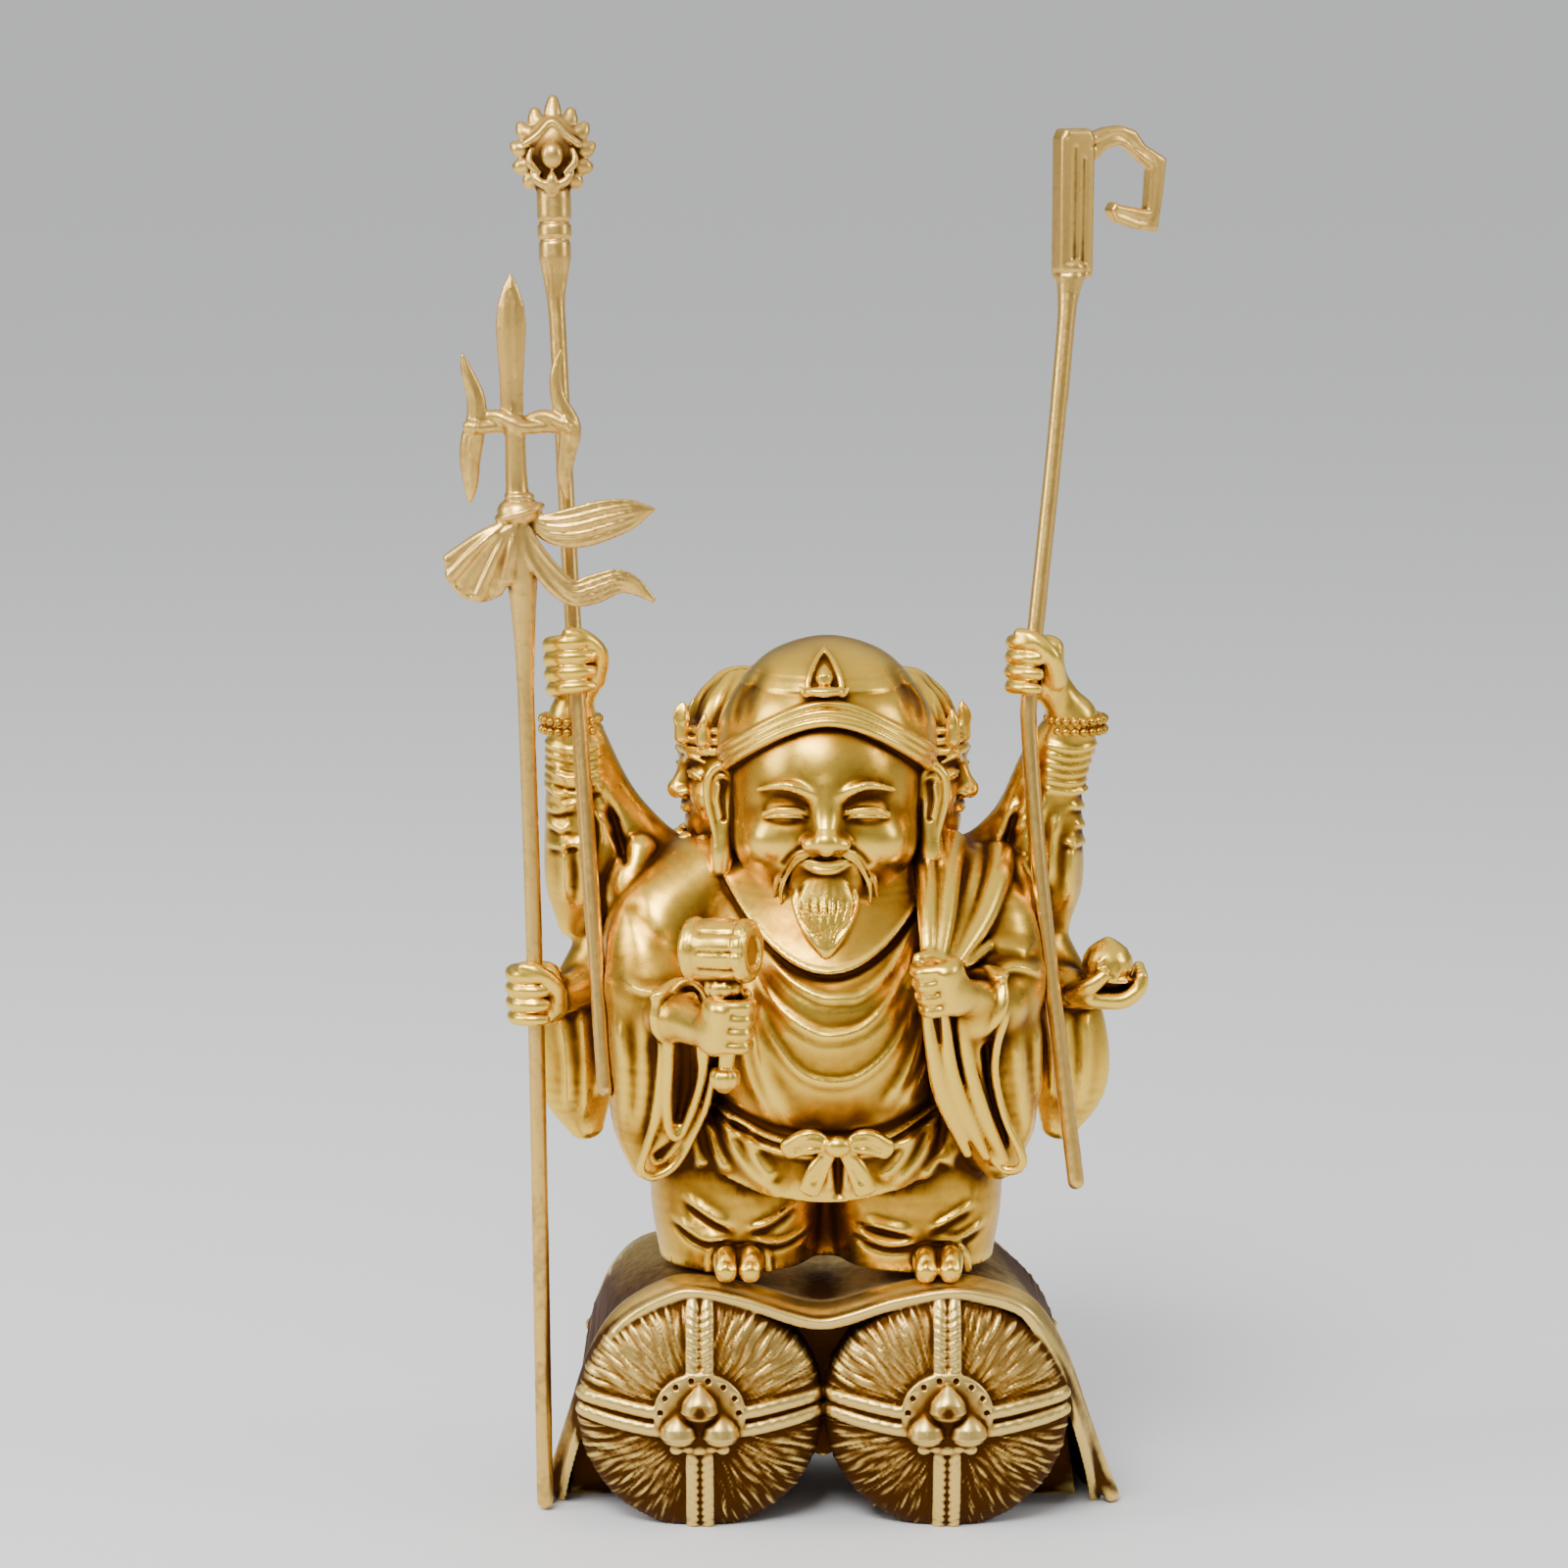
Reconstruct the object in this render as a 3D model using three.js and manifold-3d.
// God of wealth statue, cast in brass: a three-faced, six-armed figure in a hood stands on two
// draped rice bales. A trident, a flaming jewel staff and a storehouse key slide through its fists.
// Millimetres, +Z up. The figure looks along -Y, and the origin is on the ground under the middle.
import * as THREE from "three";
import { mergeVertices } from "three/addons/utils/BufferGeometryUtils.js";
import Module from "manifold-3d";

const wasm = await Module();
wasm.setup();

// Driving dimensions
const BALE_RADIUS = 21;
const BALE_SPACING = 42.6;
const BALE_HALF_LENGTH = 19;
const BALE_DOME = 6.5;
const BALE_AXIS_HEIGHT = 20.2;
const CLOTH_THICKNESS = 1.5;
const ROD_RADIUS = 1.45;
const ROD_CLEARANCE = 0.35;
const STANDING_HEIGHT = 43;
const STANDING_GAP = 0.3;
const HEM_HEIGHT = 61;
const BELT_HEIGHT = 72;
const SHOULDER_HEIGHT = 113;
const FACE_THIRD = 9.6;
const SIDE_FACE_THIRD = 6.7;
const CHIN_HEIGHT = 110;
const HOOD_TOP = 153.4;
const FIST_SIZE = 1;

// The shapes are laid out about the middle of the base, and the whole is moved by this much to
// put the origin under the middle of everything, arms and implements included
const MIDDLE_SHIFT = [2.2, 7.6];

// How the facets are thinned out, and how many each casting keeps
const EVENNESS = 0.0004;
const LEAST_TURN = 0.35;
const FIGURE_FACETS = 5800;
const BASE_FACETS = 1750;
const TRIDENT_FACETS = 640;
const STAFF_FACETS = 520;

const FRONT = new THREE.Vector3(0, -1, 0);
const UP = new THREE.Vector3(0, 0, 1);
const SIDES = [-1, 1];

const vec = (x, y, z) => new THREE.Vector3(x, y, z);
const mix = THREE.MathUtils.lerp;
const smooth = THREE.MathUtils.smoothstep;
const bump = (distance, width) => Math.exp(-((distance / width) ** 2));
const range = (count) => Array.from({ length: count }, (_, i) => i);

// A closed geometry as a solid that can be joined and cut
function solid(geometry) {
  const bare = new THREE.BufferGeometry();
  const flat = geometry.index ? geometry.toNonIndexed() : geometry;
  bare.setAttribute("position", flat.getAttribute("position"));
  const merged = mergeVertices(bare, 1e-3);
  return new wasm.Manifold(
    new wasm.Mesh({
      numProp: 3,
      vertProperties: merged.attributes.position.array,
      triVerts: new Uint32Array(merged.index.array),
    }),
  );
}

// Solids joined into one
const join = (solids) => solids.flat(Infinity).reduce((all, one) => all.add(one));

// How far a point lies off a corner's planes, which are summed up as the ten numbers of a quadric
function offPlanes(q, { x, y, z }) {
  const squares = q[0] * x * x + q[4] * y * y + q[7] * z * z;
  const products = q[1] * x * y + q[2] * x * z + q[5] * y * z + q[3] * x + q[6] * y + q[8] * z;
  return squares + 2 * products + q[9];
}

function planeQuadric([a, b, c]) {
  const across = b.clone().sub(a).cross(c.clone().sub(a));
  const weight = Math.sqrt(across.length() / 2);
  const { x, y, z } = across.normalize();
  const w = -across.dot(a);
  return [x * x, x * y, x * z, x * w, y * y, y * z, y * w, z * z, z * w, w * w].map((n) => n * weight);
}

const outwardOf = ([a, b, c]) => b.clone().sub(a).cross(c.clone().sub(a)).normalize();

// The same closed surface with fewer facets: the edges that matter least are drawn together
function thinned(shape, wanted) {
  const { numVert, numTri, numProp, vertProperties, triVerts } = shape.getMesh();
  const points = range(numVert).map((i) => vec().fromArray(vertProperties, i * numProp));
  const quadrics = points.map(() => new Array(10).fill(0));
  let faces = range(numTri).map((i) => [...triVerts.subarray(i * 3, i * 3 + 3)]);
  for (const face of faces) {
    const plane = planeQuadric(face.map((corner) => points[corner]));
    face.forEach((corner) => plane.forEach((n, i) => (quadrics[corner][i] += n)));
  }
  const costOf = (a, b, place) =>
    offPlanes(quadrics[a], place) + offPlanes(quadrics[b], place) + EVENNESS * points[a].distanceToSquared(points[b]);
  const bestPlace = (a, b) => {
    const middle = points[a].clone().lerp(points[b], 0.5);
    const choices = [points[a], points[b], middle].map((place) => ({ a, b, place, cost: costOf(a, b, place) }));
    return choices.reduce((best, one) => (one.cost < best.cost ? one : best));
  };
  const staysUpright = (face, moved, place) => {
    const after = face.map((corner) => (moved.includes(corner) ? place : points[corner]));
    return outwardOf(after).dot(outwardOf(face.map((corner) => points[corner]))) > LEAST_TURN;
  };
  while (faces.length > wanted) {
    const around = points.map(() => []);
    faces.forEach((face) => face.forEach((corner) => around[corner].push(face)));
    const edges = faces
      .flatMap(([a, b, c]) => [[a, b], [b, c], [c, a]])
      .filter(([a, b]) => a < b)
      .map(([a, b]) => bestPlace(a, b))
      .sort((one, other) => one.cost - other.cost);
    const touched = new Set();
    let left = Math.min(Math.ceil((faces.length - wanted) / 2), Math.ceil(edges.length * 0.04));
    for (const { a, b, place } of edges) {
      if (left === 0) break;
      const nearA = new Set(around[a].flat());
      const nearB = new Set(around[b].flat());
      const both = [...nearA].filter((corner) => nearB.has(corner));
      const beside = [...around[a], ...around[b]].filter((face) => !(face.includes(a) && face.includes(b)));
      const free = ![...nearA, ...nearB].some((corner) => touched.has(corner));
      if (!free || both.length !== 4 || !beside.every((face) => staysUpright(face, [a, b], place))) continue;
      points[a] = place.clone();
      quadrics[b].forEach((n, i) => (quadrics[a][i] += n));
      around[b].forEach((face) => (face[face.indexOf(b)] = a));
      [...nearA, ...nearB].forEach((corner) => touched.add(corner));
      left -= 1;
    }
    faces = faces.filter(([a, b, c]) => a !== b && b !== c && c !== a);
  }
  const used = [...new Set(faces.flat())];
  const numbered = new Map(used.map((corner, i) => [corner, i]));
  const geometry = new THREE.BufferGeometry().setFromPoints(used.map((corner) => points[corner]));
  geometry.setIndex(faces.flat().map((corner) => numbered.get(corner)));
  return solid(geometry);
}

// A closed skin over rings of points, each ring run the same way round, with a pole at each end
function skin(rings, firstPole, lastPole) {
  const sides = rings[0].length;
  const points = [...rings.flat(), firstPole, lastPole];
  const first = points.length - 2;
  const last = points.length - 1;
  const end = (rings.length - 1) * sides;
  const index = [];
  for (const side of range(sides)) {
    const next = (side + 1) % sides;
    for (const row of range(rings.length - 1)) {
      const [a, b] = [row * sides + side, row * sides + next];
      index.push(a, b, b + sides, a, b + sides, a + sides);
    }
    index.push(first, next, side, last, end + side, end + next);
  }
  const geometry = new THREE.BufferGeometry().setFromPoints(points);
  geometry.setIndex(index);
  return geometry;
}

// A rounded limb along a smooth curve. Each station is [x, y, z, half width, half depth], the
// width lying across the direction that it faces.
function limb(stations, { sides = 8, steps = 4 * (stations.length - 1), face = FRONT } = {}) {
  const curve = new THREE.CatmullRomCurve3(stations.map(([x, y, z]) => vec(x, y, z)));
  const sizeAt = (share, column) => {
    const place = Math.min(share * (stations.length - 1), stations.length - 1.0001);
    const low = Math.floor(place);
    const value = (station) => station[column] ?? station[3];
    return mix(value(stations[low]), value(stations[low + 1]), place - low);
  };
  const ring = (share, along = 0, scale = 1) => {
    const tangent = curve.getTangent(share);
    const across = tangent.clone().cross(face).normalize();
    const deep = tangent.clone().cross(across);
    const centre = curve.getPoint(share).addScaledVector(tangent, along);
    return range(sides).map((side) => {
      const turn = (side / sides) * 2 * Math.PI;
      return centre
        .clone()
        .addScaledVector(across, Math.cos(turn) * sizeAt(share, 3) * scale)
        .addScaledVector(deep, Math.sin(turn) * sizeAt(share, 4) * scale);
    });
  };
  const endSize = (share) => Math.min(sizeAt(share, 3), sizeAt(share, 4));
  const pole = (share, sign) =>
    curve.getPoint(share).addScaledVector(curve.getTangent(share), sign * endSize(share));
  const rings = [
    ring(0, -0.66 * endSize(0), 0.75),
    ...range(steps + 1).map((step) => ring(step / steps)),
    ring(1, 0.66 * endSize(1), 0.75),
  ];
  return solid(skin(rings, pole(0, -1), pole(1, 1)));
}

// An ellipsoid, with its own turn about X, Y and Z in degrees
function ball([x, y, z], [rx, ry, rz], { turn = [0, 0, 0], sides = 12, rows = 8 } = {}) {
  const geometry = new THREE.SphereGeometry(1, sides, rows);
  geometry.rotateX(Math.PI / 2);
  geometry.scale(rx, ry, rz);
  const [ax, ay, az] = turn.map(THREE.MathUtils.degToRad);
  geometry.rotateX(ax);
  geometry.rotateY(ay);
  geometry.rotateZ(az);
  geometry.translate(x, y, z);
  return solid(geometry);
}

// A turned shape: its profile is a list of [radius, height], stood on a point along a direction
function turned(profile, sides, foot, direction = UP) {
  const geometry = new THREE.LatheGeometry(
    profile.map(([radius, height]) => new THREE.Vector2(radius, height)),
    sides,
  );
  const up = new THREE.Vector3(0, 1, 0);
  geometry.applyQuaternion(new THREE.Quaternion().setFromUnitVectors(up, direction.clone().normalize()));
  geometry.translate(...foot);
  return solid(geometry);
}

// A flat plate cut to an outline of [x, z] points, its middle at a depth, turned about the upright
function plate(outline, thickness, [x, y, z], turnDegrees = 0) {
  const shape = new THREE.Shape(outline.map(([across, up]) => new THREE.Vector2(across, up)));
  const geometry = new THREE.ExtrudeGeometry(shape, { depth: thickness, bevelEnabled: false });
  geometry.translate(0, 0, -thickness / 2);
  geometry.rotateX(Math.PI / 2);
  geometry.rotateZ(THREE.MathUtils.degToRad(turnDegrees));
  geometry.translate(x, y, z);
  return solid(geometry);
}

// Robe, trousers and boots

// Half width, front and back of the robe at a height
const ROBE = [
  [HEM_HEIGHT - 1, 24.5, -24.5, 15],
  [BELT_HEIGHT - 4, 24, -25.5, 15.5],
  [BELT_HEIGHT, 22.5, -25, 15.5],
  [80, 24, -27.5, 16.5],
  [88, 24.5, -27.5, 17],
  [96, 24.5, -25.5, 17],
  [104, 24, -21.5, 16],
  [110, 21, -17, 14],
  [SHOULDER_HEIGHT + 2, 14, -12, 10],
];
const COLLAR = { low: 99.5, rise: 0.04, relief: 1.5 };
const NECK_FOLDS = [
  { low: 96.6, rise: 0.018 },
  { low: 92.8, rise: 0.028 },
  { low: 87.8, rise: 0.028 },
  { low: 82.4, rise: 0.03 },
];
const FOLD_RELIEF = 1.1;
const BELT_RELIEF = 1;
const HEM_DROP = 3.2;

// How far the carving on the front of the robe stands out at a place
function robeRelief(x, z) {
  const collar = smooth(z - COLLAR.low - COLLAR.rise * x * x, -0.4, 0.8) * COLLAR.relief;
  const inside = 1 - smooth(Math.abs(x), 15, 19);
  const folds = NECK_FOLDS.map(({ low, rise }) => bump(z - low - rise * x * x, 1.3) * FOLD_RELIEF * inside);
  const belt = bump(z - BELT_HEIGHT, 1.4) * BELT_RELIEF;
  const pleats = smooth(BELT_HEIGHT - z, 1, 5) * 0.7 * Math.cos(x * 0.75);
  return collar + Math.max(...folds) + belt + pleats;
}

function robe() {
  const sides = 56;
  const rows = 52;
  const top = ROBE.at(-1)[0];
  const column = (height, index) => {
    const above = ROBE.findIndex(([level]) => level > height);
    const high = above < 1 ? ROBE.length - 1 : above;
    const share = (height - ROBE[high - 1][0]) / (ROBE[high][0] - ROBE[high - 1][0]);
    return mix(ROBE[high - 1][index], ROBE[high][index], smooth(share, 0, 1) * 0.5 + share * 0.5);
  };
  const point = (turn, height) => {
    const front = Math.cos(turn);
    const half = column(height, 1);
    const depth = front > 0 ? -column(height, 2) : column(height, 3);
    const x = Math.sin(turn) * half;
    const relief = robeRelief(x, height) * Math.max(front, 0);
    const lifted = height < HEM_HEIGHT ? -HEM_DROP * Math.max(front, 0) ** 2 : 0;
    return vec(x + Math.sin(turn) * relief * 0.3, -front * (depth + relief), height + lifted);
  };
  const rings = range(rows + 1).map((row) => {
    const height = mix(ROBE[0][0], top, row / rows);
    return range(sides).map((side) => point((side / sides) * 2 * Math.PI, height));
  });
  return solid(skin(rings, vec(0, 0, ROBE[0][0] + 2), vec(0, 0, top + 3)));
}

function trousersAndBoots() {
  return SIDES.flatMap((side) => {
    const x = side * 15.6 + 0.6;
    const leg = limb(
      [
        [x, 0, 66, 15.4, 13],
        [x, 0, 54, 15.2, 12.5],
        [x, -1, 45.5, 13.8, 11.5],
      ],
      { sides: 16, steps: 4 },
    );
    const creases = SIDES.flatMap((way) =>
      range(2).map((row) =>
        limb(
          [
            [x + way * (10 - row * 2), -10.5, 60 - row * 4, 0.9, 0.9],
            [x + way * 5, -13.2, 52.5 - row * 2, 1.1, 1.1],
            [x, -13, 48.5, 0.8, 0.8],
          ],
          { sides: 5, steps: 3 },
        ),
      ),
    );
    const boot = limb(
      [
        [x, -8, 45.5, 6, 3],
        [x + side * 1, -17, 45.2, 5.2, 2.9],
      ],
      { sides: 10, steps: 2, face: UP },
    );
    const toes = SIDES.map((way) => ball([x + side + way * 2, -19.5, 45], [2.6, 2.6, 2.7], { sides: 8, rows: 6 }));
    return [leg, creases, boot, toes];
  });
}

function bow() {
  const y = -26.4;
  const z = BELT_HEIGHT - 2.5;
  const loops = SIDES.map((side) => ball([2.3 + side * 4.2, y, z + 0.4], [4, 1.7, 2.1], { turn: [0, side * 12, 0] }));
  const tails = SIDES.map((side) =>
    limb(
      [
        [2.3 + side * 1, y, z - 0.6, 1.2, 0.9],
        [2.3 + side * 4.6, y + 0.6, z - 6, 1.5, 0.9],
      ],
      { sides: 6, steps: 2 },
    ),
  );
  return [loops, tails, ball([2.3, y - 1, z], [1.8, 1.7, 1.8], { sides: 8, rows: 6 })];
}

// Sleeves and forearms

const FRONT_SLEEVE = {
  arm: [
    [21, -1, 109, 9, 9],
    [28, -5, 103, 9.5, 9.5],
    [30.5, -10, 94, 7.6, 9],
  ],
  drop: [
    [28, -13, 92, 9, 8.5],
    [28.2, -13, 80, 9.2, 7.5],
    [28.6, -12.5, 70, 8, 6],
    [30, -12, 61.5, 3.6, 3],
  ],
  mouth: [
    [20.5, -22, 91, 4, 3.4],
    [21.2, -20, 81, 4.4, 3.4],
    [23, -17, 72, 3, 2.6],
  ],
};
const RAISED_SLEEVE = {
  hanging: [
    [43.6, 3.5, 138, 4, 4],
    [42.6, 4, 129, 5.6, 5],
    [41.2, 4, 119, 7.4, 6],
    [41, 4, 109, 7.6, 6],
    [43, 3.5, 102, 4.4, 3.4],
  ],
  arm: [
    [42.5, 4, 134, 4.6, 4.4],
    [37.4, 4.5, 122, 5.6, 5.4],
    [30, 5, 112, 6.6, 6],
  ],
  rightShift: -3.2,
};
const LOW_SLEEVE = [
  [37, 4, 96, 7, 6],
  [41.8, 3, 85, 7.4, 5],
  [43.2, 2, 74, 7, 4.4],
  [41.6, 2, 65.5, 3.6, 2.8],
];
const mirrored = (stations, side) => stations.map(([x, ...rest]) => [x * side, ...rest]);

function sleeves(side) {
  const arm = limb(mirrored(FRONT_SLEEVE.arm, side), { sides: 14 });
  const drop = limb(mirrored(FRONT_SLEEVE.drop, side), { sides: 14, steps: 8 });
  const mouth = limb(mirrored(FRONT_SLEEVE.mouth, side), { sides: 8, steps: 4 });
  const shift = side > 0 ? RAISED_SLEEVE.rightShift : 0;
  const hanging = limb(
    mirrored(RAISED_SLEEVE.hanging, side).map(([x, y, z, ...size], row) => [x + (row && shift), y, z, ...size]),
    { sides: 12, steps: 10 },
  );
  const raised = [hanging, limb(mirrored(RAISED_SLEEVE.arm, side), { sides: 10, steps: 6 })];
  const low = limb(mirrored(LOW_SLEEVE, side), { sides: 10, steps: 6 });
  const shoulder = limb(
    mirrored(
      [
        [20, 4, 108, 8, 8],
        [38, 4, 111, 8, 6],
      ],
      side,
    ),
    { sides: 10, steps: 2 },
  );
  const pad = ball([side * 33.5, -2, 108], [4.4, 4.6, 8.4], { sides: 10, rows: 8 });
  const bracelet = turned(
    [
      [0, -1.6],
      [4.6, -1.6],
      [5.1, 0],
      [4.6, 1.6],
      [0, 1.6],
    ],
    12,
    [side * 43.9, 3.5, 137],
  );
  return join([arm, drop]).subtract(mouth).add(join([raised, low, shoulder, pad, bracelet]));
}

// A fist closed on a rod. The back of the hand lies on the far side of the rod from the curled
// fingers, and the fingers are stacked along the rod.
function fist(centre, rod, back, wrist, size = FIST_SIZE) {
  const along = rod.clone().normalize();
  const behind = back.clone().addScaledVector(along, -back.dot(along)).normalize();
  const beside = along.clone().cross(behind);
  const place = (a, b, c) =>
    centre
      .clone()
      .addScaledVector(along, a * size)
      .addScaledVector(behind, b * size)
      .addScaledVector(beside, c * size)
      .toArray();
  const fingers = range(4).map((finger) => {
    const a = 3.4 - finger * 2.25;
    const thick = (finger === 3 ? 1.05 : 1.25) * size;
    return limb(
      [
        [...place(a, 2, 2.6), thick],
        [...place(a, -0.8, 3.7), thick],
        [...place(a, -2.9, 1.2), thick],
        [...place(a, -2.4, -2), thick * 0.9],
      ],
      { sides: 6, steps: 4, face: along },
    );
  });
  const palm = limb(
    [
      [...place(2.6, 2.9, 0.6), 3.4 * size, 2.2 * size],
      [...place(-3, 2.9, 0.2), 3.2 * size, 2.2 * size],
    ],
    { sides: 8, steps: 2, face: behind },
  );
  const thumb = limb(
    [
      [...place(-1.5, 2.6, -2.6), 1.6 * size],
      [...place(2, 0, -3.6), 1.4 * size],
      [...place(4.2, -2.2, -1.6), 1.1 * size],
    ],
    { sides: 6, steps: 4, face: behind },
  );
  const forearm = limb([[...place(-2, 2.6, 0), 2.6 * size, 2.2 * size], wrist], { sides: 8, steps: 2 });
  return [fingers, palm, thumb, forearm];
}

// The open hand that offers the jewel
function openHand() {
  const fingers = range(4).map((finger) => {
    const y = -7.4 + finger * 2.5;
    return limb(
      [
        [47, y, 90.6, 1.5],
        [52, y, 90.8, 1.5],
        [55, y, 93.8, 1.3],
      ],
      { sides: 6, steps: 4 },
    );
  });
  const palm = ball([46.8, -3.6, 91.2], [6.2, 5.4, 3], { sides: 10, rows: 6 });
  const forearm = limb(
    [
      [37, 1, 92, 4.4],
      [45, -2.5, 91, 3],
    ],
    { sides: 8, steps: 2 },
  );
  const jewel = turned(
    [
      [0, -4.4],
      [3.2, -3],
      [4.5, 0],
      [3.2, 3],
      [1.2, 4.8],
      [0, 5.6],
    ],
    12,
    [49.4, -4, 95.8],
  );
  return [fingers, palm, forearm, jewel];
}

// Heads

// A head of general proportions: the face is three equal thirds from chin to hairline, five eyes
// wide, with half-closed eyes and a closed, faintly smiling mouth.
function head({ chin, facing, third, detail = 1 }) {
  const forward = facing.clone().normalize();
  const right = forward.clone().cross(UP);
  const place = (a, b, c) =>
    chin
      .clone()
      .addScaledVector(right, a * third)
      .addScaledVector(forward, b * third)
      .addScaledVector(UP, c * third)
      .toArray();
  const turn = THREE.MathUtils.radToDeg(Math.atan2(-forward.x, forward.y)) + 180;
  const round = (at, [width, deep, tall], extra = {}) =>
    ball(place(...at), [width * third, deep * third, tall * third], { turn: [0, 0, turn], ...extra });
  const rod = (stations, extra = {}) =>
    limb(
      stations.map(([a, b, c, ...sizes]) => [...place(a, b, c), ...sizes.map((s) => s * third)]),
      { sides: 6, steps: 4, face: forward, ...extra },
    );
  const sides = Math.round(12 + 6 * detail);
  return [
    round([0, -1.7, 1.75], [1.66, 1.85, 1.85], { sides, rows: 10 }),
    round([0, -1.25, 0.85], [1.38, 1.2, 0.95], { sides, rows: 8 }),
    round([0, -0.42, 0.2], [0.5, 0.4, 0.3], { sides: 10, rows: 6 }),
    SIDES.map((side) => round([side * 0.82, -0.5, 0.98], [0.56, 0.42, 0.48], { sides: 10, rows: 6 })),
    rod([
      [0, -0.1, 1.95, 0.14],
      [0, 0.14, 1.5, 0.17],
      [0, 0.3, 1.16, 0.26],
    ]),
    SIDES.map((side) => round([side * 0.27, 0.08, 1.1], [0.17, 0.22, 0.15], { sides: 8, rows: 6 })),
    SIDES.map((side) =>
      rod([
        [side * 0.22, 0.02, 1.98, 0.09],
        [side * 0.72, 0, 2.12, 0.11],
        [side * 1.2, -0.34, 1.96, 0.07],
      ]),
    ),
    SIDES.map((side) => round([side * 0.66, -0.16, 1.72], [0.33, 0.2, 0.17], { sides: 8, rows: 6 })),
    rod(
      [
        [-0.52, -0.2, 0.74, 0.07],
        [0, 0.06, 0.64, 0.13],
        [0.52, -0.2, 0.74, 0.07],
      ],
      { face: UP },
    ),
  ];
}

const EAR = { out: 17.2, y: -5, top: 131, lobe: 114.5 };

function frontHead() {
  const chin = vec(0.3, -22, CHIN_HEIGHT);
  const face = head({ chin, facing: FRONT, third: FACE_THIRD });
  const ears = SIDES.flatMap((side) => [
    limb(
      [
        [side * EAR.out + 0.6, EAR.y, EAR.top - 2, 2.4, 1.6],
        [side * (EAR.out + 0.8) + 0.6, EAR.y - 0.5, EAR.top - 7, 2, 1.5],
        [side * (EAR.out + 0.4) + 0.6, EAR.y - 1.5, EAR.lobe + 2.2, 2.2, 1.8],
      ],
      { sides: 8, steps: 6, face: vec(side, 0, 0) },
    ),
    ball([side * (EAR.out + 0.4) + 0.6, EAR.y - 2, EAR.lobe + 3], [2.2, 2.6, 3.2], { sides: 8, rows: 6 }),
  ]);
  const moustache = SIDES.map((side) =>
    limb(
      [
        [0.3 + side * 1, -22.4, 119.2, 0.9],
        [0.3 + side * 4.2, -21.6, 117.4, 1.1],
        [0.3 + side * 7, -19.4, 113.4, 0.5],
      ],
      { sides: 6, steps: 4 },
    ),
  );
  const beard = [-1, 0, 1].map((lock) =>
    limb(
      [
        [0.3 + lock * 2.6, -21.6, 113.4, 2, 1.6],
        [0.3 + lock * 2, -24, 108.4, 1.9, 1.5],
        [0.3 + lock * 0.6, -24.6, 103.6, 0.6, 0.6],
      ],
      { sides: 7, steps: 5 },
    ),
  );
  return [face, ears, moustache, beard];
}

function hood() {
  const crown = ball([0.9, -4.5, 137.6], [19.4, 18.8, 13.6], { sides: 24, rows: 14 });
  const peak = ball([0, -3, HOOD_TOP - 6.6], [9, 10, 6.6], { sides: 14, rows: 8 });
  const roll = limb(
    range(9).map((step) => {
      const turn = mix(-105, 105, step / 8) * THREE.MathUtils.DEG2RAD;
      return [0.6 + Math.sin(turn) * 18, -4 - Math.cos(turn) * 19.2, 139.2 - 9 * Math.sin(turn / 2) ** 2 * 2, 2, 1.2];
    }),
    { sides: 8, steps: 16, face: UP },
  );
  const under = ball([0.6, -6, 122], [17.5, 21, 13.5], { sides: 16, rows: 8 });
  const ornament = [
    ball([0, -20.6, 143.6], [3.6, 1.6, 1.5], { sides: 8, rows: 6 }),
    turned(
      [
        [0, -2.4],
        [2.4, -1.2],
        [2.2, 1.2],
        [1, 3.6],
        [0, 6],
      ],
      8,
      [0, -19.4, 146.4],
      vec(0, 0.35, 1),
    ),
  ];
  return join([crown.subtract(under), peak, roll, ornament]);
}

function sideHead(side) {
  const facing = vec(side, -0.25, 0);
  const third = SIDE_FACE_THIRD;
  const chin = vec(side * 23.8, 4.6, 117.6);
  const face = head({ chin, facing, third, detail: 0 });
  const crown = limb(
    [
      [side * 14.4, 7, 135.5, 8.4, 9],
      [side * 14, 7.5, 140.4, 6, 6.6],
    ],
    { sides: 12, steps: 2 },
  );
  const brim = ball([side * 15.8, 6.6, 134], [9, 9, 2], { sides: 14, rows: 6 });
  const spike = limb(
    [
      [side * 23.4, 4.6, 134.5, 1.6, 2.6],
      [side * 23.6, 4.6, 141, 0.7, 1],
    ],
    { sides: 6, steps: 2 },
  );
  const neck = limb(
    [
      [side * 15, 6, 106, 10, 9],
      [side * 16, 6, 121, 7.6, 8],
    ],
    { sides: 10, steps: 3 },
  );
  return [face, crown, brim, spike, neck];
}

// What the hands hold that is cast with the figure

const MALLET = { centre: vec(-17.6, -32, 104.6), axis: vec(1, -0.42, 0.05), radius: 5.9, half: 6.6 };

function mallet() {
  const { centre, radius, half } = MALLET;
  const axis = MALLET.axis.clone().normalize();
  const barrel = [
    [0, -half],
    [radius * 0.84, -half],
    [radius * 0.84, -half + 0.6],
    [radius, -half + 0.6],
    [radius, -half + 2],
    [radius * 0.93, -half + 2.3],
    [radius * 0.97, 0],
    [radius * 0.93, half - 2.3],
    [radius, half - 2],
    [radius, half - 0.6],
    [radius * 0.84, half - 0.6],
    [radius * 0.84, half],
    [0, half],
  ];
  const handle = limb(
    [
      [-17.4, -32.4, 101, 1.7],
      [-16, -33, 92, 1.6],
      [-16.7, -32, 83, 1.4],
    ],
    { sides: 8, steps: 4 },
  );
  const lotus = ball([-17, -32.6, 97.6], [2.9, 2.6, 1.9], { sides: 8, rows: 6 });
  const knob = ball([-16.8, -32, 82.2], [2.6, 2.4, 1.9], { sides: 8, rows: 6 });
  return [turned(barrel, 16, centre.toArray(), axis), handle, lotus, knob];
}

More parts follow.
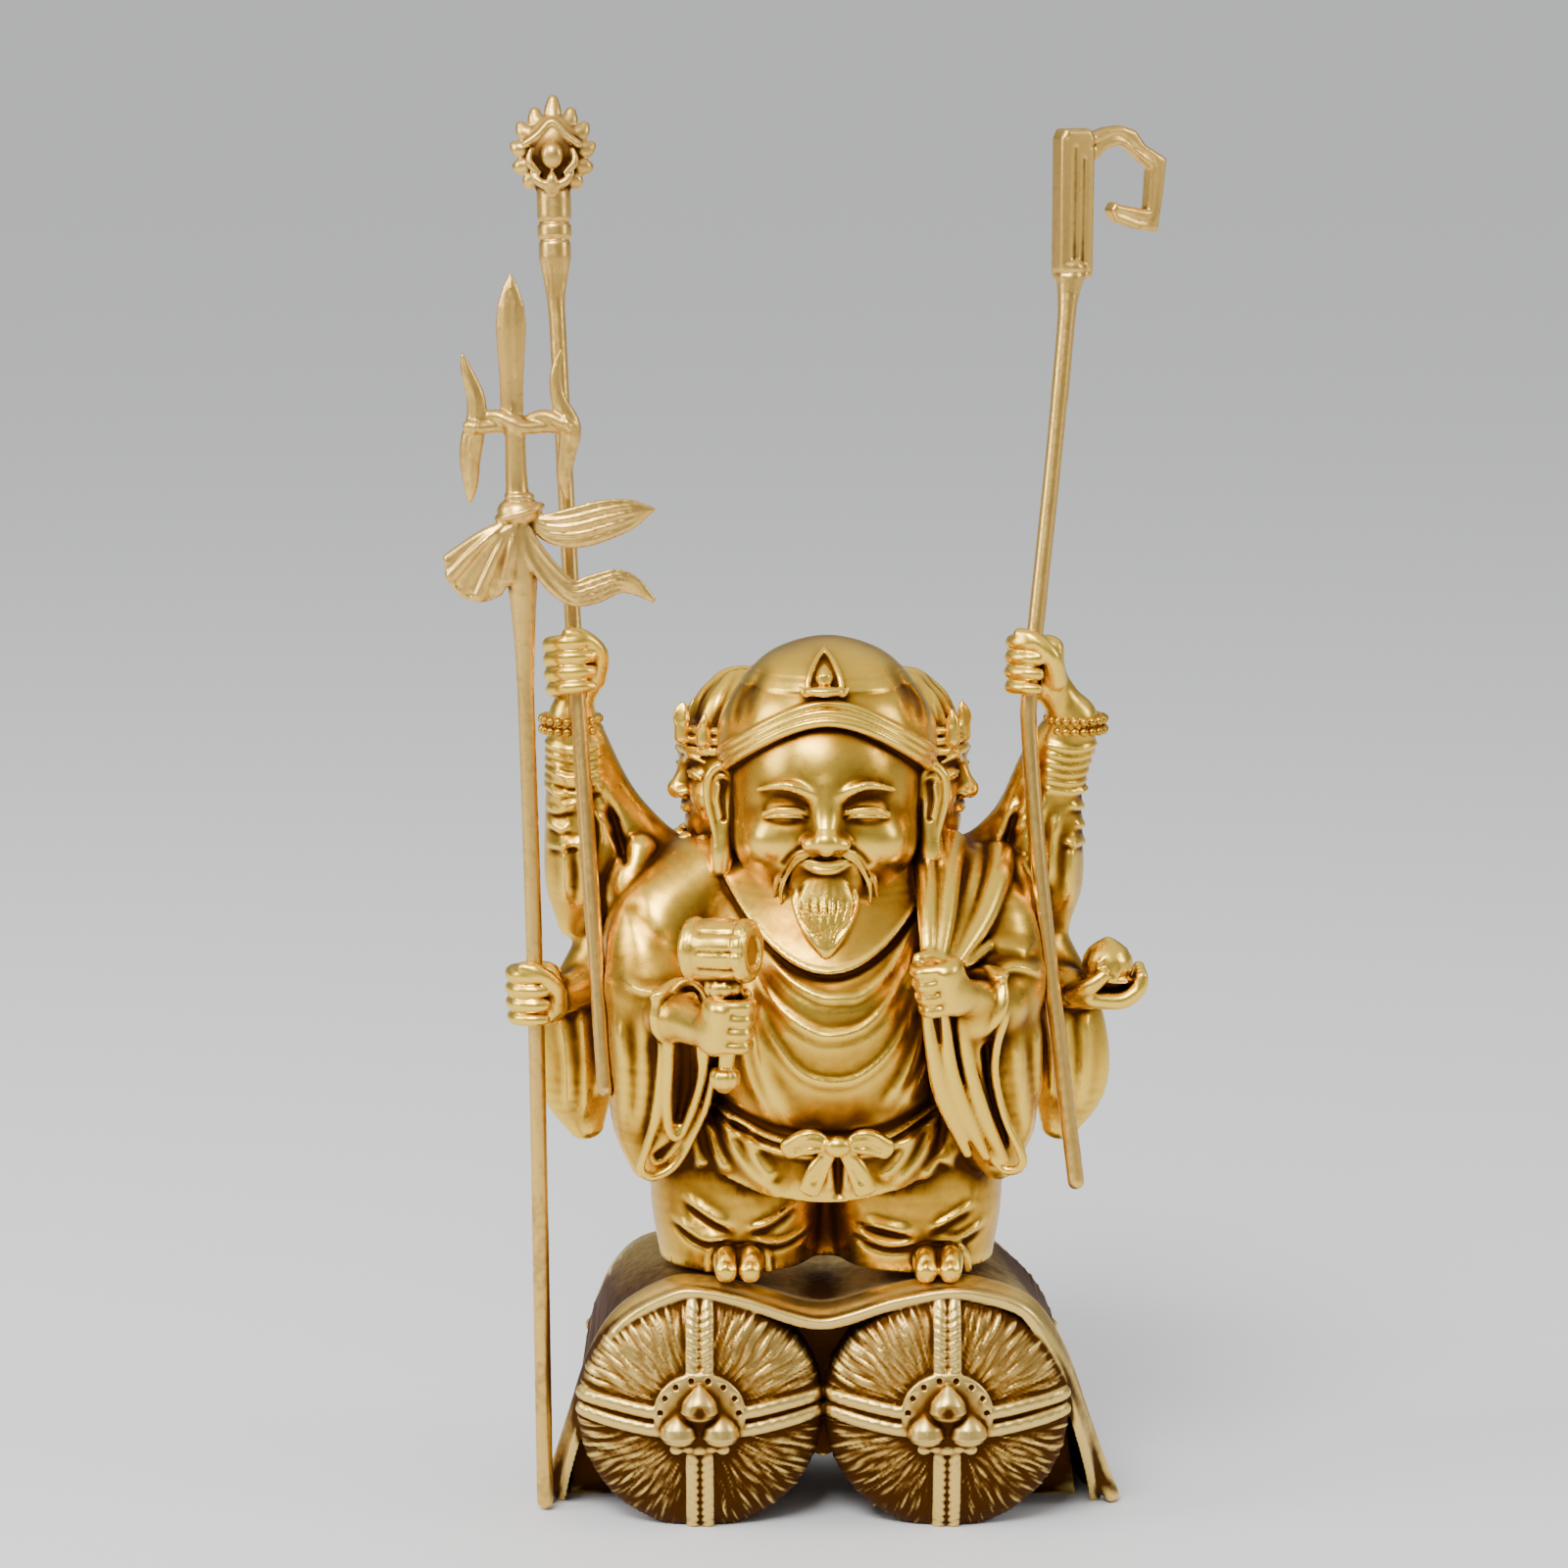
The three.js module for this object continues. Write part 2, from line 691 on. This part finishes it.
function sack() {
  const bag = ball([11, 14, 97], [16, 9.5, 18], { sides: 16, rows: 10 });
  const folds = range(4).map((fold) => {
    const x = 19 + fold * 4.4;
    return limb(
      [
        [20.6 + fold * 0.6, -26 + fold, 100, 1.4, 1.6],
        [mix(20.6, x, 0.6), -20 + fold * 1.6, 106, 2, 2],
        [x, -8 + fold * 1.4, 113.4 - fold * 0.9, 2.6, 2.4],
        [x - 4, 6, 113 - fold, 3, 3],
      ],
      { sides: 6, steps: 6 },
    );
  });
  const tails = range(3).map((tail) =>
    limb(
      [
        [18 + tail * 2.4, -26.5 + tail * 0.8, 94, 1.8, 1.6],
        [19.4 + tail * 4.2, -25.4 + tail * 2, 80, 2.4, 1.6],
        [23.6 + tail * 4.6, -21 + tail * 2.2, 64.5 + tail * 1.6, 2.6, 1.4],
      ],
      { sides: 6, steps: 5 },
    ),
  );
  return [bag, folds, tails];
}

// Loose implements

const STAFF_PATH = [
  [-37.5, -16, 76.8],
  [-42.8, 0.4, 147.6],
  [-46.3, 12.6, 212],
];
const TRIDENT_PATH = [
  [-48.7, -13, 1.8],
  [-49.8, -8.2, 91.5],
  [-52, -3.6, 175],
];
const KEY_PATH = [
  [43.7, -14, 59.7],
  [38.2, -8, 104.4],
  [35.7, -2, 134.2],
  [35.9, 0, 146],
  [39.6, 7, 180.8],
  [42.4, 12, 210],
];

// A rod along a path, or the hole that it slides in
function rodAlong(path, radius, steps = 10) {
  return limb(
    path.map((point) => [...point, radius]),
    { sides: 8, steps },
  );
}

function trident() {
  const shaft = rodAlong(TRIDENT_PATH, ROD_RADIUS);
  const [topX, topY, topZ] = TRIDENT_PATH.at(-1);
  const socket = limb(
    [
      [-50.2, -5.2, 148, 1.5],
      [-50.9, -4.6, 158, 2.1],
      [-51.6, -4, 169, 2.7],
      [topX, topY, topZ + 2, 2],
    ],
    { sides: 8, steps: 6 },
  );
  const knot = ball([topX, topY, topZ + 1.5], [3.6, 3.2, 2.4], { sides: 10, rows: 6 });
  const neck = limb(
    [
      [topX, topY, topZ + 2, 1.8],
      [-52.7, -3, 190, 1.6],
    ],
    { sides: 6, steps: 2 },
  );
  const blade = plate(
    [
      [-1.4, -24],
      [1.4, -24],
      [1.9, -10],
      [2.7, 3],
      [1.9, 8],
      [0.3, 13.2],
      [-0.3, 13.2],
      [-1.9, 8],
      [-2.7, 3],
      [-1.9, -10],
    ],
    2.2,
    [-53.2, -2.6, 202.4],
  );
  const bar = limb(
    [
      [-60, -3, 190.6, 1.5],
      [-56.4, -3, 189.4, 1.9],
      [-52.7, -3, 189.8, 2.2],
      [-48, -3, 189.4, 1.9],
      [-43.6, -3, 190.2, 1.5],
    ],
    { sides: 6, steps: 8, face: UP },
  );
  const prongs = SIDES.map((side) => {
    const x = -52.3 + side * 8.2;
    return limb(
      [
        [x - side * 0.6, -3, 203, 0.5, 0.4],
        [x + side * 0.2, -3, 197.5, 1.6, 0.9],
        [x - side * 0.6, -3, 190.5, 1.3, 1],
        [x + side * 0.5, -3, 184.5, 1.7, 0.9],
        [x - side * 0.4, -3, 176.6, 0.5, 0.4],
      ],
      { sides: 6, steps: 10 },
    );
  });
  const fan = range(3).map((fold) =>
    limb(
      [
        [topX - 0.5, topY - 0.6, topZ - 1, 1.4, 1],
        [topX - 6 + fold * 1.6, topY - 2, topZ - 6.5 - fold * 1.4, 2.1, 1],
        [topX - 11.4 + fold * 3.6, topY - 1.6, topZ - 10 - fold * 3.2, 2, 0.9],
      ],
      { sides: 6, steps: 4 },
    ),
  );
  const ribbons = [
    [
      [topX + 1, topY, topZ, 1.4, 1],
      [topX + 8, topY - 1.4, topZ - 2.6, 2.9, 1],
      [topX + 15, topY - 1, topZ, 3.4, 1],
      [topX + 23, topY, topZ + 0.6, 1.4, 0.8],
    ],
    [
      [topX + 1, topY - 1, topZ - 1, 1.6, 1],
      [topX + 7, topY - 2, topZ - 8.8, 2.8, 1],
      [topX + 14, topY - 1.6, topZ - 13, 2.7, 1],
      [topX + 23, topY - 1, topZ - 14, 1.2, 0.7],
    ],
  ].map((stations) => limb(stations, { sides: 6, steps: 9 }));
  return thinned(join([shaft, socket, knot, neck, blade, bar, prongs, fan, ribbons]), TRIDENT_FACETS);
}

function flamingStaff() {
  const shaft = rodAlong(STAFF_PATH, ROD_RADIUS);
  const direction = vec(-0.02, 0.16, 1).normalize();
  const foot = vec(...STAFF_PATH.at(-1));
  const up = (height) => foot.clone().addScaledVector(direction, height);
  const socket = turned(
    [
      [0, -6],
      [1.6, -5.6],
      [2.1, 0],
      [2.9, 5],
      [2.5, 7.6],
      [3.1, 8.2],
      [3.1, 10.4],
      [2.4, 10.9],
      [2.4, 12.6],
      [3.1, 13.2],
      [3.1, 15.2],
      [2.2, 16],
      [0, 17],
    ],
    12,
    up(0).toArray(),
    direction,
  );
  const centre = up(23.4);
  const heart = ball(centre.toArray(), [6.2, 4.2, 7.6], { sides: 12, rows: 8 });
  const flames = range(9).map((flame) => {
    const turn = mix(-128, 128, flame / 8) * THREE.MathUtils.DEG2RAD;
    const [x, z] = [Math.sin(turn) * 6.9, Math.cos(turn) * 8];
    return ball([centre.x + x, centre.y + z * 0.16, centre.z + z], [1.6, 1.5, 1.6], { sides: 7, rows: 5 });
  });
  const leaf = ball([centre.x, centre.y - 2.4, centre.z + 3.4], [2.6, 1.8, 4], { sides: 8, rows: 6 });
  return thinned(join([shaft, socket, heart, flames, leaf]), STAFF_FACETS);
}

function storehouseKey() {
  const shaft = rodAlong(KEY_PATH, ROD_RADIUS, 16);
  const [x, y, z] = KEY_PATH.at(-1);
  const socket = limb(
    [
      [40.5, 8.6, 190, 1.5],
      [41.5, 10.6, 201, 2.1],
      [x, y, z - 1, 2.9],
    ],
    { sides: 8, steps: 4 },
  );
  const block = plate(
    [
      [-3.2, -1],
      [3.4, -1],
      [3.8, 27],
      [2.8, 28],
      [-2.4, 28],
      [-3.4, 27],
    ],
    3.8,
    [x + 0.4, y + 2, z],
    28,
  );
  const bar = plate(
    [
      [3, 24.2],
      [6, 24],
      [7, 25.2],
      [10, 25.2],
      [12.6, 23.4],
      [14.8, 22],
      [14.6, 15],
      [11, 15.4],
      [8.6, 15.6],
      [8, 12.6],
      [17.6, 10.6],
      [18.8, 24.4],
      [16.2, 26],
      [13.6, 29.6],
      [7.6, 30.2],
      [5.4, 28.6],
      [3, 28.6],
    ],
    3.2,
    [x + 0.4, y + 2, z],
    28,
  );
  return join([shaft, socket, block, bar]);
}

// Base

function bale(side) {
  const x = (side * BALE_SPACING) / 2;
  const dome = (share) => [
    BALE_RADIUS * Math.cos(share * Math.PI * 0.5),
    BALE_HALF_LENGTH + BALE_DOME * Math.sin(share * Math.PI * 0.5),
  ];
  const half = range(5).map((step) => dome(step / 5));
  const profile = [
    [0, -BALE_HALF_LENGTH - BALE_DOME],
    ...half.map(([radius, along]) => [radius, -along]).reverse(),
    ...half,
    [0, BALE_HALF_LENGTH + BALE_DOME],
  ];
  const body = turned(profile, 28, [x, 0, BALE_AXIS_HEIGHT], vec(0, 1, 0));
  const onDome = (a, b, lift) => {
    const out = Math.min(Math.hypot(a, b) / BALE_RADIUS, 1);
    return BALE_HALF_LENGTH + BALE_DOME * Math.sqrt(1 - out * out) + lift;
  };
  const ropeAt = (route, width, face) =>
    SIDES.map((end) =>
      limb(
        route.map(([a, b]) => [x + a, end * onDome(a, b, 0), BALE_AXIS_HEIGHT + b, width, 1]),
        { sides: 6, steps: 8, face },
      ),
    );
  const steps = [-0.92, -0.7, -0.35, 0, 0.35, 0.7, 0.92].map((share) => share * BALE_RADIUS);
  const upright = ropeAt(
    steps.map((b) => [0, b]),
    2.3,
    FRONT,
  );
  const level = [0, 1].map((row) =>
    ropeAt(
      steps.map((a) => [a, row * 2.4 - 1.4 + 2.2 * Math.cos((a / BALE_RADIUS) * 1.4) - 1.4]),
      1.1,
      FRONT,
    ),
  );
  const crest = range(3).map((jewel) => {
    const [a, b] = [[-3.6, -1.6], [3.6, -1.6], [0, 4]][jewel];
    return turned(
      [
        [0, -2.6],
        [2.2, -2.2],
        [3, 0],
        [2, 2.4],
        [0.6, 3.8],
        [0, 4.6],
      ],
      8,
      [x + a, -onDome(a, b, 0.4), BALE_AXIS_HEIGHT + b],
    );
  });
  const halo = limb(
    range(9).map((step) => {
      const turn = mix(-130, 130, step / 8) * THREE.MathUtils.DEG2RAD;
      const [a, b] = [Math.sin(turn) * 8, Math.cos(turn) * 8 + 1];
      return [x + a, -onDome(a, b, 0), BALE_AXIS_HEIGHT + b, 1.4, 1.2];
    }),
    { sides: 6, steps: 14 },
  );
  return join([body, upright, level, crest, halo]);
}

// Outline of the cloth seen from the front, over both bales, as [x, z] from ground to ground
const CLOTH_FRONT = [
  [-49.4, 0.6],
  [-43.4, 18.3],
  [-39.6, 29.6],
  [-34.6, 37.2],
  [-26.5, 42],
  [-21.1, 42.6],
  [-12, 40.6],
  [-0.5, 37.4],
  [11, 40.6],
  [21.3, 42.6],
  [28, 42],
  [35.6, 39],
  [41.2, 30.2],
  [45.4, 18.9],
  [51.6, 0.6],
];
const CLOTH_BACK = [
  [-44, 0.6],
  [-43.6, 14],
  [-41.2, 27.6],
  [-37.6, 36],
  [-31.5, 41],
  [-21.1, 42.2],
  [-12, 41.6],
  [-0.5, 40.6],
  [11, 41.6],
  [21.3, 42.2],
  [29, 41.2],
  [34.6, 36.4],
  [40, 29],
  [43, 14],
  [45, 0.6],
];
const CLOTH_EDGE = { middle: -21.5, corner: -8, back: 20 };

function cloth() {
  const columns = 30;
  const rows = 6;
  const spline = (outline) => new THREE.SplineCurve(outline.map(([x, z]) => new THREE.Vector2(x, z)));
  const [front, back] = [spline(CLOTH_FRONT), spline(CLOTH_BACK)];
  const lineAt = (column, row) => {
    const share = column / columns;
    const depth = row / rows;
    const [a, b] = [front.getPoint(share), back.getPoint(share)];
    const low = Math.abs(share * 2 - 1) ** 5;
    const y = mix(mix(CLOTH_EDGE.middle, CLOTH_EDGE.corner, low), CLOTH_EDGE.back, depth);
    const lift = bump(depth, 0.12) * 0.7;
    return { x: mix(a.x, b.x, depth), y, z: mix(a.y, b.y, depth) + lift * (1 - low) };
  };
  const surface = (column, row, inward) => {
    const here = lineAt(column, row);
    const [before, after] = [lineAt(Math.max(column - 1, 0), row), lineAt(Math.min(column + 1, columns), row)];
    const normal = vec(after.x - before.x, 0, after.z - before.z).cross(FRONT).normalize();
    return vec(here.x, here.y, here.z).addScaledVector(normal, -inward).setZ(
      Math.max(here.z - normal.z * inward, 0.3),
    );
  };
  const ring = (column) => [
    ...range(rows + 1).map((row) => surface(column, row, 0)),
    ...range(rows + 1).map((row) => surface(column, rows - row, CLOTH_THICKNESS)),
  ];
  const rings = range(columns + 1).map(ring);
  const centre = (points) => points.reduce((sum, p) => sum.add(p), vec(0, 0, 0)).divideScalar(points.length);
  return solid(skin(rings, centre(rings[0]), centre(rings.at(-1))));
}

// Cuts everything off below the ground and above the level where the figure stands
function betweenLevels(shape) {
  const slab = new THREE.BoxGeometry(400, 400, STANDING_HEIGHT);
  slab.translate(0, 0, STANDING_HEIGHT / 2);
  return shape.intersect(solid(slab));
}

function riceBaleBase() {
  const packing = plate(
    [
      [0, 10],
      [13, 16],
      [13, 34],
      [0, 38],
      [-13, 34],
      [-13, 16],
    ],
    CLOTH_EDGE.back + 13,
    [0, (CLOTH_EDGE.back - 15) / 2, 0],
  );
  const fillets = SIDES.map((side) =>
    plate(
      [
        [20, 0],
        [46, 0],
        [42, 22],
        [36, 22],
      ].map(([x, z]) => [x * side, z]),
      CLOTH_EDGE.back + 11,
      [0, (CLOTH_EDGE.back - 12) / 2, 0],
    ),
  );
  const whole = thinned(join([bale(-1), bale(1), cloth(), packing, fillets]), BASE_FACETS);
  return betweenLevels(whole).subtract(rodAlong(TRIDENT_PATH, ROD_RADIUS + ROD_CLEARANCE));
}

// The casting of the figure

function figure() {
  const staffRod = vec(-0.06, 0.22, 1);
  const keyRod = vec(0.05, 0.13, 1);
  const tridentRod = vec(-0.012, 0.035, 1);
  const fists = [
    fist(vec(-42.8, 0.4, 147.6), staffRod, vec(0.2, 1, 0), [-43.9, 3.5, 138, 3.4], 1.12),
    fist(vec(36.3, 0.1, 147.6), keyRod, vec(0.8, 0.6, 0), [43.4, 3.4, 138, 3.4], 1.12),
    fist(vec(-49.8, -8.2, 91.3), tridentRod, vec(0.55, 0.85, 0), [-39, 1, 92, 3.6], 1.1),
    fist(vec(-16, -33, 92), vec(0.04, 0, 1), vec(-0.6, 0.8, 0), [-26, -20, 92, 3.6]),
    fist(vec(19.6, -28.4, 98), vec(-0.35, -0.1, 1), vec(0.9, -0.4, 0), [30, -18, 92, 3.6]),
  ];
  const all = join([
    robe(),
    trousersAndBoots(),
    bow(),
    SIDES.map(sleeves),
    fists,
    openHand(),
    frontHead(),
    hood(),
    SIDES.map(sideHead),
    mallet(),
    sack(),
  ]);
  const holes = join(
    [STAFF_PATH, TRIDENT_PATH, KEY_PATH].map((path) => rodAlong(path, ROD_RADIUS + ROD_CLEARANCE, 12)),
  );
  return thinned(all.subtract(groundOfFigure()), FIGURE_FACETS).subtract(holes);
}

// The figure's feet stand just clear of the cloth
function groundOfFigure() {
  const slab = new THREE.BoxGeometry(200, 200, 60);
  slab.translate(0, 0, STANDING_HEIGHT + STANDING_GAP - 30);
  return solid(slab);
}

// Scene graph

const brass = { color: 0xd0a24a, roughness: 0.34, metalness: 1 };
const paleBrass = { color: 0xb98f5a, roughness: 0.45, metalness: 1 };

function node(name, shape, finish) {
  const { numProp, vertProperties, triVerts } = shape.getMesh();
  const geometry = new THREE.BufferGeometry();
  const attribute = new THREE.InterleavedBuffer(vertProperties, numProp);
  geometry.setAttribute("position", new THREE.InterleavedBufferAttribute(attribute, 3, 0));
  geometry.setIndex(new THREE.BufferAttribute(triVerts, 1));
  const mesh = new THREE.Mesh(geometry, new THREE.MeshStandardMaterial(finish));
  mesh.name = name;
  return mesh;
}

const statue = new THREE.Group();
statue.position.set(...MIDDLE_SHIFT, 0);
statue.add(
  node("figure", figure(), brass),
  node("rice_bale_base", riceBaleBase(), brass),
  node("trident", trident(), paleBrass),
  node("flaming_jewel_staff", flamingStaff(), paleBrass),
  node("storehouse_key", storehouseKey(), paleBrass),
);

export default statue;
